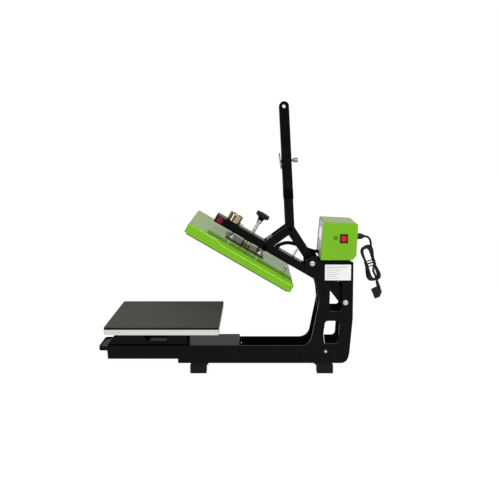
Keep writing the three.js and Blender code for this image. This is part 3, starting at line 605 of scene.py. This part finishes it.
bm = bmesh.new()
lay = at(0, 0, GLAND_Z) @ ALONG_Y
add_turned(bm, lay, [(7.5, 427.6), (7.5, 432.6), (12.2, 432.8), (12.2, 435.4), (11.4, 436)], 48)
hex_nut(bm, lay, 22.5, 435.6, 442)
add_turned(bm, lay, [(10.4, 441.5), (10.9, 444), (10.9, 447.5), (10.6, 451.5), (9.4, 457),
                     (7.2, 462), (5.6, 464.8), (4.3, GLAND_END)], 48)
adopt(to_object("cable_gland_body", bm, PLASTIC), "frame", ["cable_gland"])

# ---- frame -----------------------------------------------------------------------------------

for side in ("left", "right"):
    refined(f"frame_side_{side}", COAT, 0.9)
    refined(f"slide_channel_{side}", STEEL, 0.4)
    refined(f"slide_rail_{side}", STEEL, 0.4)
    for place in ("front", "rear"):
        refined(f"foot_{place}_{side}", RUBBER, 1.6, 3)
for node in ("frame_rear_plate", "base_deck", "control_box_bracket"):
    refined(node, COAT, 0.8)


def outward(place, way):
    """A place turned so that its Z axis points left (-1) or right (1)."""
    return place @ Matrix.Rotation(math.pi / 2 * way, 4, "Y")


def domed_shaft(name, node, place, head):
    """A shaft across the frame with a washer and a domed nut on each end."""
    half = FRAME_HALF
    bm = bmesh.new()
    add_turned(bm, place @ ALONG_X, [(head * 0.5, -half), (head * 0.5, half)], 32)
    for way in (-1, 1):
        turn = outward(place, way)
        add_turned(bm, turn, [(head, half), (head, half + 0.9), (head * 0.95, half + 1.2)], 48)
        dome = [(head * 0.86 * math.cos(a), half + 1.2 + 3.7 * math.sin(a))
                for a in (0, 0.25, 0.5, 0.75, 1.0, 1.25, 1.45)]
        add_turned(bm, turn, dome, 48)
    adopt(to_object(name, bm, STEEL), BODY_OF[node], [node])


domed_shaft("arm_shaft", "arm_pivot_shaft", at(0, *ARM_PIVOT), 9.0)
domed_shaft("lever_shaft", "handle_pivot_shaft", at(0, *LEVER_PIVOT), 9.0)
domed_shaft("strut_foot_bolt", "strut_foot_pin", Matrix.Translation(STRUT_FOOT), 5.4)

refined("label_plate", LABEL, 0.15, 1)
LINE_TOP, LINE_PITCH, LINE_START = 375.5, 6.4, 329
bm = bmesh.new()
for i, end in enumerate((402, 372, 379, 366, 376, 361, 370)):
    z = LINE_TOP - LINE_PITCH * i
    low = z - (1.2 if i == 0 else 0.6)
    add_box(bm, Matrix(), (60.85, LINE_START, low), (61.02, end, z + 0.6), 0.02, 1)
adopt(to_object("label_lines", bm, PRINT), "frame", slot="label")

# ---- drawer ----------------------------------------------------------------------------------

refined("drawer_carriage", COAT, 1.0)
refined("platen_holder", COAT, 0.9)
refined("pull_handle", COAT, 0.8)
refined("platen_plate", ALUMINIUM, 0.7)


def pad():
    """The sponge pad: a crowned sheet with soft, slightly pulled-in sides, which are painted
    near-black as shade.
    """
    half, y0, low, high = 190, -226.5, 190.3, 198
    bm = bmesh.new()

    def ring(inset, z):
        """The pad's rounded square at one height, moved inwards by the inset."""
        radius = max(2.5, 8 - inset)
        reach = half - inset - radius
        points = []
        for corner, (sx, sy) in enumerate(((1, -1), (1, 1), (-1, 1), (-1, -1))):
            for k in range(7):
                angle = -math.pi / 2 + corner * math.pi / 2 + k * math.pi / 12
                points.append(Vector((sx * reach + radius * math.cos(angle),
                                      y0 + sy * reach + radius * math.sin(angle), z)))
        return points

    profile = [(1.2, low), (0.35, low + 0.6), (0.15, low + 2.2), (0.3, low + 4.2),
               (0.3, high - 2.0), (0.7, high - 1.1), (1.6, high - 0.4), (3.2, high - 0.12),
               (8, high - 0.08)]
    add_rings(bm, [ring(*p) for p in profile])
    obj = to_object("platen_pad", bm, PAD, sharp=60)
    # the upright side faces take the painted shade copy of the sponge
    obj.data.materials.append(PAD_SIDE_SHADE)
    for face in obj.data.polygons:
        if abs(face.normal.z) < 0.6:
            face.material_index = 1
    adopt(obj, "drawer", ["silicone_pad"])


pad()

# a screw in the inner face of each side plate
bm = bmesh.new()
for way in (-1, 1):
    turn = outward(at(0, 32, 73), -way)
    add_turned(bm, turn, [(5.4, -54.9), (5.4, -54.0), (4.9, -52.8), (3.2, -51.8), (1.2, -51.5)], 32)
adopt(to_object("plate_screws", bm, STEEL), "frame", slot="steel")

# ---- control box -----------------------------------------------------------------------------


def control_box():
    """A folded steel box with soft edges, open at the front for its panel."""
    bm = bmesh.new()
    bend = BOX_BEND
    rows = []
    for way in (-1, 1):
        arc = [(bend * (1 - math.sin(a)), BOX_HALF - bend * (1 - math.cos(a)))
               for a in (0, 0.26, 0.52, 0.79, 1.05, 1.31, math.pi / 2)]
        arc = [(bend + 1.0, BOX_HALF), *arc, (0, BOX_HALF - bend - 1.0)]
        rows += [(inset, way * x) for inset, x in (arc if way < 0 else arc[::-1])]
    rings = []
    for inset, x in rows:
        rings.append([Vector((x, p.x, p.y)) for p in rounded_outline(inset_corners(BOX, inset))])
    add_rings(bm, rings)
    obj = to_object("control_box_skin", bm, GREEN, sharp=30)
    hollow = bmesh.new()
    rings = [[Vector((x, p.x, p.y)) for p in rounded_outline(BOX_HOLLOW)] for x in (-81.5, 81.5)]
    add_rings(hollow, rings)
    cut_with(obj, hollow)
    holes = bmesh.new()
    add_box(holes, Matrix(), *SWITCH_HOLE, 0.2, 1)
    cut_with(obj, holes)
    return adopt(obj, "frame", ["control_box_shell"])


control_box()
refined("control_panel", PANEL, 0.5)
refined("control_display", GLASS, 0.25)
refined("control_board", BOARD, 0.2, 1)
refined("solid_state_relay", PLASTIC, 1.0)
refined("rocker_bezel", PLASTIC, 0.6)
refined("rocker_switch", RED, 0.5, sharp=50)
for name in ("set", "down", "up"):
    refined(f"key_{name}", PANEL, 0.3)
bm = bmesh.new()
lay = at(0, *FUSE) @ ALONG_X
add_turned(bm, lay, [(4, 62), (4, 85.2), (6, 85.35), (6, 87.9), (5.4, 88.5), (4.5, 88.6),
                     (4.5, 87.4)], 48)
adopt(to_object("fuse_ring", bm, PLASTIC), "frame", ["fuse_holder"])
bm = bmesh.new()
add_turned(bm, lay, [(4.3, 87.2), (4.3, 88.6), (3.9, 89.3), (3.0, 89.8)], 48)
adopt(to_object("fuse_cap", bm, FUSE_GREEN), "frame", slot="green")

# ---- arm ---------------------------------------------------------------------------------------

refined("press_arm", COAT, 1.2, 3)
refined("pressure_nut", STEEL, 0.6)
refined("release_bezel", PLASTIC, 1.0)
bm = bmesh.new()
add_turned(bm, HEAD @ at(0, *RELEASE) @ ALONG_X, [(11.3, 36.3), (11.3, 40.2), (10.9, 41.0),
                                                  (9.8, 41.6), (7, 41.3), (3, 41.1)])
adopt(to_object("release_cap", bm, CRIMSON), "release", ["release_button"])


def link_bolt():
    """A pin with a flat ringed head and a socket on each end."""
    place, half, radius = HEAD @ at(0, *LINK_PIN), 37.5, 9
    bm = bmesh.new()
    add_turned(bm, place @ ALONG_X, [(6, -half), (6, half)], 32)
    for way in (-1, 1):
        turn = outward(place, way)
        add_turned(bm, turn, [(radius, half), (radius, half + 2.4), (radius - 0.8, half + 3.2),
                              (radius - 2.6, half + 3.3), (radius - 3.2, half + 2.6),
                              (radius - 5.2, half + 2.7), (radius - 5.8, half + 4.4),
                              (1.0, half + 4.5)], 48)
    adopt(to_object("link_bolt", bm, GLOSS_BLACK), BODY_OF["link_pin"], ["link_pin"])


link_bolt()


def electromagnet():
    """A plated steel cup with its coil ring, a flange and two terminal screws."""
    place = HEAD @ at(0, MAGNET_Y, 0)
    bm = bmesh.new()
    add_turned(bm, place, [(23, ARM_TOP), (24.6, 41.2), (25, 42.6), (25, 67.8), (24.2, 69.6),
                           (23.2, 70.4), (17.5, 70.5), (17.3, 69.6), (12.4, 69.6), (12.2, 70.5),
                           (3, 70.5), (2.6, 69.4)], 72)
    adopt(to_object("magnet_cup", bm, ZINC), "arm", ["electromagnet"])
    bm = bmesh.new()
    for y in (-447.5, -442):
        add_turned(bm, HEAD @ at(8, y, 0), [(2.2, 39.8), (2.2, 46.5), (4.0, 46.5), (4.0, 49.2),
                                            (3.4, 49.9)], 24)
    adopt(to_object("magnet_terminals", bm, STEEL), "arm", slot="steel")


electromagnet()

# ---- pressure screw and heated head --------------------------------------------------------


def pressure_knob():
    """The threaded rod and its star-shaped hand knob."""
    place = HEAD @ at(0, KNOB_Y, 0)
    bm = bmesh.new()
    add_thread(bm, place, 6.0, -1, 82, 2.5, 0.12)
    add_turned(bm, place, [(5.6, 80), (8.2, 80.6), (8.6, 82), (9.6, 90.5), (9.6, 92)], 48)
    adopt(to_object("pressure_screw_rod", bm, STEEL, sharp=50), "knob", ["pressure_screw"], "steel")
    bm = bmesh.new()
    lobes, rings = 7, []
    for radius, depth, z in ((9.6, 0, 92), (10.3, 0, 93.5), (11.0, 0, 98.5), (14.0, 0.6, 102.5),
                             (19.0, 2.0, 104.2), (21.2, 2.8, 105.4), (22.0, 3.0, 107.4),
                             (22.0, 3.0, 116.4), (21.4, 2.8, 118.4), (19.4, 2.2, 119.6),
                             (16.5, 1.0, 120.2), (12.5, 0, 120.3), (11.5, 0, 120.8), (10.0, 0, 121),
                             (4.0, 0, 121)):
        ring = []
        for i in range(lobes * 16):
            angle = 2 * math.pi * i / (lobes * 16)
            wave = math.cos(lobes * angle)
            r = min(25.0, radius + depth * (1 - 2 * ((1 - wave) / 2) ** 1.4))
            ring.append(place @ Vector((r * math.cos(angle), r * math.sin(angle), z)))
        rings.append(ring)
    add_rings(bm, rings)
    adopt(to_object("star_knob", bm, PLASTIC, sharp=55), "knob", ["pressure_knob"])


pressure_knob()


def cover_wall(y):
    """The height of the cover's side wall at a place along its length."""
    t = min(1, max(0, (y - SHOULDER[0]) / (SHOULDER[1] - SHOULDER[0])))
    return WALLS[0] + (WALLS[1] - WALLS[0]) * t * t * (3 - 2 * t)


def cover_outline():
    """Points round the cover with their outward directions."""
    radius = 13
    right = COVER["half"] - radius
    front, rear = COVER["front"] + radius, COVER["rear"] - radius
    # close rows over the shoulder, where the wall changes its height
    fine = [SHOULDER[0] - 4 + 28 * k / 22 for k in range(23)]
    flank = [front + (fine[0] - front) * k / 5 for k in range(1, 5)]
    flank += fine + [fine[-1] + (rear - fine[-1]) * k / 12 for k in range(1, 12)]
    points = []

    def corner(x, y, start):
        """A quarter turn about a corner's centre."""
        for k in range(13):
            angle = start + math.pi / 24 * k
            points.append((x, y, math.cos(angle), math.sin(angle)))

    corner(right, front, -math.pi / 2)
    points.extend((right, y, 1, 0) for y in flank)
    corner(right, rear, 0)
    corner(-right, rear, math.pi / 2)
    points.extend((-right, y, -1, 0) for y in reversed(flank))
    corner(-right, front, math.pi)
    return points, radius


def cover_profile(y, bend=3.6):
    """(inset, height) pairs up the side wall, over the slope and on to the top."""
    wall, tall = cover_wall(y), COVER["top"] - COVER["bottom"]
    slope = tall - wall
    reach = bend * math.tan(math.pi / 8)
    pairs = [(0.9, 0), (0.25, 0.2), (0, 0.9), (0, 2.0), (0, wall - reach - 0.8)]
    pairs += [(bend * (1 - math.cos(a)), wall - reach + bend * math.sin(a))
              for a in (math.pi / 4 * k / 5 for k in range(6))]
    tangent = reach / math.sqrt(2)
    pairs.append((tangent + 0.5, wall + tangent + 0.5))
    pairs.append((slope - tangent - 0.5, tall - tangent - 0.5))
    pairs += [(slope + reach - bend * math.sin(a), tall - bend * (1 - math.cos(a)))
              for a in (math.pi / 4 * (1 - k / 5) for k in range(6))]
    pairs.append((slope + reach + 0.8, tall))
    return pairs


def heat_cover():
    """The folded cover: a skin outside, a hollow inside and four vent holes, with a painted
    highlight on the bend below its slope.
    """
    outline, radius = cover_outline()
    columns = []
    for x, y, nx, ny in outline:
        column = []
        for inset, height in cover_profile(y + ny * radius if nx == 0 else y):
            push = radius - inset
            if nx * ny != 0:  # the rows stop before they cross at a corner
                push = max(push, -2.5)
            column.append(HEAD @ Vector((x + nx * push, y + ny * push, COVER["bottom"] + height)))
        columns.append(column)
    rings = [list(ring) for ring in zip(*columns)]
    inner = []
    for depth, level in ((1.6, 0), (1.6, 19), (14.5, 32.2)):
        inner.append([HEAD @ Vector((x + nx * (radius - depth), y + ny * (radius - depth),
                                     COVER["bottom"] + level)) for x, y, nx, ny in outline])
    bm = bmesh.new()
    add_rings(bm, [*reversed(inner), *rings])
    obj = to_object("heat_cover_skin", bm, GREEN, sharp=30)
    vents = bmesh.new()
    for x in (-150, 150):
        for y in (-557, -546):
            add_turned(vents, HEAD @ at(x, y, 0), [(3.2, -14), (3.2, -5)], 24)
    cut_with(obj, vents)
    # the narrow faces of the bend between the side wall and the slope take the painted highlight
    obj.data.materials.append(GREEN_FOLD_HIGHLIGHT)
    turn_back = HEAD.to_3x3().inverted()
    for face in obj.data.polygons:
        if 0.2 < (turn_back @ face.normal).z < 0.6 and face.area < 4e-4:
            face.material_index = 1
    return adopt(obj, "head", ["heat_cover"])


heat_cover()
refined("heat_insulation", WOOL, 1.5)
refined("heating_plate", PTFE, 0.6, 2)


def mount():
    """The mount plate with its studs, the bush of the pressure screw and the guide rod."""
    refined("mount_plate", COAT, 0.4)
    bm = bmesh.new()
    for x in STUD_X:
        for y in STUD_Y:
            here = HEAD @ at(x, y, 0)
            add_turned(bm, here, [(8.6, -6.5), (8.6, -5.2), (8.2, -5.0)], 36)
            hex_nut(bm, here, 13, -5.0, 1.2)
            add_thread(bm, here, 4.35, 1.0, 8.9, 1.25, 0.35, 20)
    adopt(to_object("stud_nuts", bm, STEEL), "head", slot="steel")
    bm = bmesh.new()
    bush = HEAD @ at(0, KNOB_Y, 0)
    add_turned(bm, bush, [(16.2, -6.2), (17.2, -5.6), (17.5, -4.6), (17.5, 8.2), (16.9, 9.2),
                          (15.2, 9.5), (14.9, 11.4), (8.2, 11.5)], 64)
    adopt(to_object("thrust_bush_body", bm, BRASS), "head", ["thrust_bush"])
    bm = bmesh.new()
    guide = HEAD @ at(0, GUIDE_Y, 0)
    add_turned(bm, guide, [(7, -9.7), (7, -6.6), (6.4, -6.0)], 40)
    hex_nut(bm, guide, 9, -6.0, -1.5)
    add_turned(bm, guide, [(4, -1.6), (4, 68.6), (3.2, 70), (1.5, 70)], 40)
    adopt(to_object("guide_rod_body", bm, CHROME), "head", ["guide_rod"])


mount()

# ---- lever ---------------------------------------------------------------------------------------

refined("handle_fork", COAT, 0.9)


def grip():
    """A rubber sleeve with shallow ribs between the lever's bars."""
    inside, ribbed, pitch, steps = 24.9, 22.4, 4.2, 86
    profile = [(6.5, -inside), (13.2, -inside), (14.4, -inside + 0.6)]
    profile += [(14.2 + 0.8 * math.cos(2 * math.pi * x / pitch), x)
                for x in (-ribbed + 2 * ribbed * k / steps for k in range(steps + 1))]
    profile += [(14.4, inside - 0.6), (13.2, inside), (6.5, inside)]
    bm = bmesh.new()
    add_turned(bm, HANDLE @ at(0, 0, GRIP_REACH) @ ALONG_X, profile, 48)
    bore = bmesh.new()
    add_turned(bore, HANDLE @ at(0, 0, GRIP_REACH) @ ALONG_X, [(6.5, -40), (6.5, 40)], 32)
    obj = to_object("handle_sleeve", bm, RUBBER, sharp=45)
    cut_with(obj, bore)
    adopt(obj, "handle", ["handle_grip"])


grip()
bm = bmesh.new()
for x in (-28.2, 28.2):
    add_box(bm, HANDLE, (x - 3.3, -16.8, 101.6), (x + 3.3, 16.8, 136.7), 0.5)
adopt(to_object("lever_bands", bm, GLOSS_BLACK), "handle", slot="black")


def armature():
    """The steel disc that the magnet holds, on its bolt with nuts and a spring washer."""
    place = HANDLE @ at(0, 0, ARMATURE_REACH)
    face = place @ at(0, ARMATURE_OFFSET, 0) @ Matrix.Rotation(ARMATURE_TILT, 4, "X") @ ALONG_Y
    bolt = place @ ALONG_Y
    bm = bmesh.new()
    add_turned(bm, face, [(27, -4.2), (28, -3.4), (28, -0.8), (27.2, 0), (9, 0.1), (8.4, 1.8),
                          (5.2, 2.2)], 72)
    add_thread(bm, bolt, 5.0, -18, 24.5, 1.5, 0.3, 24)
    hex_nut(bm, bolt, 15, 10.8, 17.2)
    hex_nut(bm, bolt, 15, -9.5, -3.2)
    add_turned(bm, bolt, [(5.2, 23.4), (7.4, 24), (8, 24.8), (8, 38.7), (7.2, 39.5),
                          (3.0, 39.5)], 40)
    adopt(to_object("armature_disc", bm, DULL_STEEL), "handle", ["armature_plate"])
    bm = bmesh.new()
    add_turned(bm, bolt, [(8.4, -11.4), (9.2, -11), (9.2, -9.9), (8.4, -9.5)], 40)
    adopt(to_object("armature_washer", bm, DARK_STEEL), "handle", slot="steel")


armature()

refined("toggle_link", COAT, 0.9)


def knee_bolt(side, way):
    """A washer and a bolt cap on one side of the knee."""
    turn = outward(at(0, *KNEE), way)
    bm = bmesh.new()
    add_turned(bm, turn, [(5, 32.2), (5, 37.5), (11.0, 37.5), (11.0, 38.5), (10.5, 39.0)], 48)
    adopt(to_object(f"knee_washer_{side}", bm, DARK_STEEL), "link", [f"knee_bolt_{side}"])
    bm = bmesh.new()
    add_turned(bm, turn, [(10.0, 38.7), (10.0, 40.8), (8.8, 42.2), (5.0, 42.3), (4.4, 40.8),
                          (2.0, 40.8)], 48)
    adopt(to_object(f"knee_cap_{side}", bm, GLOSS_BLACK), "link", slot="steel")


knee_bolt("left", -1)
knee_bolt("right", 1)

# ---- gas strut ---------------------------------------------------------------------------------

strut_line = HEAD @ Vector((0, *STRUT_EYE)) - STRUT_FOOT
STRUT_LENGTH = strut_line.length
STRUT = Matrix.Translation(STRUT_FOOT) @ strut_line.to_track_quat("Z", "X").to_matrix().to_4x4()


def strut():
    """The strut's bright rod and black tube, each with an eye on its end."""
    bm = bmesh.new()
    add_turned(bm, STRUT, [(4, 6), (4, 119.6), (3.4, 120)], 40)
    add_turned(bm, STRUT @ ALONG_X, [(9.2, -5), (10, -4.2), (10, 4.2), (9.2, 5)], 48)
    rod = to_object("strut_rod_body", bm, CHROME)
    foot_bore = bmesh.new()
    add_turned(foot_bore, STRUT @ ALONG_X, [(5.3, -12), (5.3, 12)], 32)
    cut_with(rod, foot_bore)
    adopt(rod, "strut_rod", ["strut_rod"])
    top = STRUT @ at(0, 0, STRUT_LENGTH)
    bm = bmesh.new()
    add_turned(bm, STRUT, [(5.2, 66), (8.2, 66), (9, 67), (9, 71), (8.4, 71.8), (8.4, 73),
                           (9, 73.8), (9, STRUT_LENGTH - 17), (8, STRUT_LENGTH - 14.6),
                           (5, STRUT_LENGTH - 14), (5, STRUT_LENGTH - 8)], 56)
    add_turned(bm, top @ ALONG_X, [(9.8, -4), (10.5, -3.3), (10.5, 3.3), (9.8, 4)], 48)
    tube = to_object("strut_tube", bm, GLOSS_BLACK)
    top_bore = bmesh.new()
    add_turned(top_bore, top @ ALONG_X, [(8, -12), (8, 12)], 32)
    cut_with(tube, top_bore)
    rod_bore = bmesh.new()
    add_turned(rod_bore, STRUT, [(4.6, 50), (4.6, STRUT_LENGTH - 20)], 32)
    cut_with(tube, rod_bore)
    adopt(tube, "strut_cylinder", ["strut_cylinder"])


strut()

# ---- heater conduit ------------------------------------------------------------------------------


def conduit():
    """A corrugated hose that bends between the arm and the control box."""
    start, rise = HEAD @ Vector((0, HOSE_Y, ARM_TOP)), HEAD @ Vector((0, HOSE_Y, 48))
    path = resample(catmull([start, rise, (0, 177, 447), (0, 199, 451), (0, 228, 445),
                             (0, 258, 432), (0, 285, 422), (0, 306.2, 420)], per=12), 0.75)
    radii = [6.3 + 0.25 * math.cos(2 * math.pi * i / 4) for i in range(len(path))]
    bm = bmesh.new()
    add_tube(bm, path, radii, 20)
    obj = to_object("heater_hose", bm, HOSE, sharp=60, weighted=False)
    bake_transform(obj)
    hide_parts("heater_conduit")
    bm = bmesh.new()
    socket = HEAD @ at(0, HOSE_Y, 0)
    add_turned(bm, socket, [(9, 40.2), (9, 41.5), (8.2, 42.5), (7.8, 47), (6.8, 48)], 40)
    adopt(to_object("hose_ferrule", bm, PLASTIC), "arm", slot="plastic")


conduit()

# ---- floor -----------------------------------------------------------------------------------

bm = bmesh.new()
bmesh.ops.create_circle(bm, cap_ends=True, segments=96, radius=14000)
floor = to_object("floor", bm, FLOOR, weighted=False)
floor.location.z = -0.0002
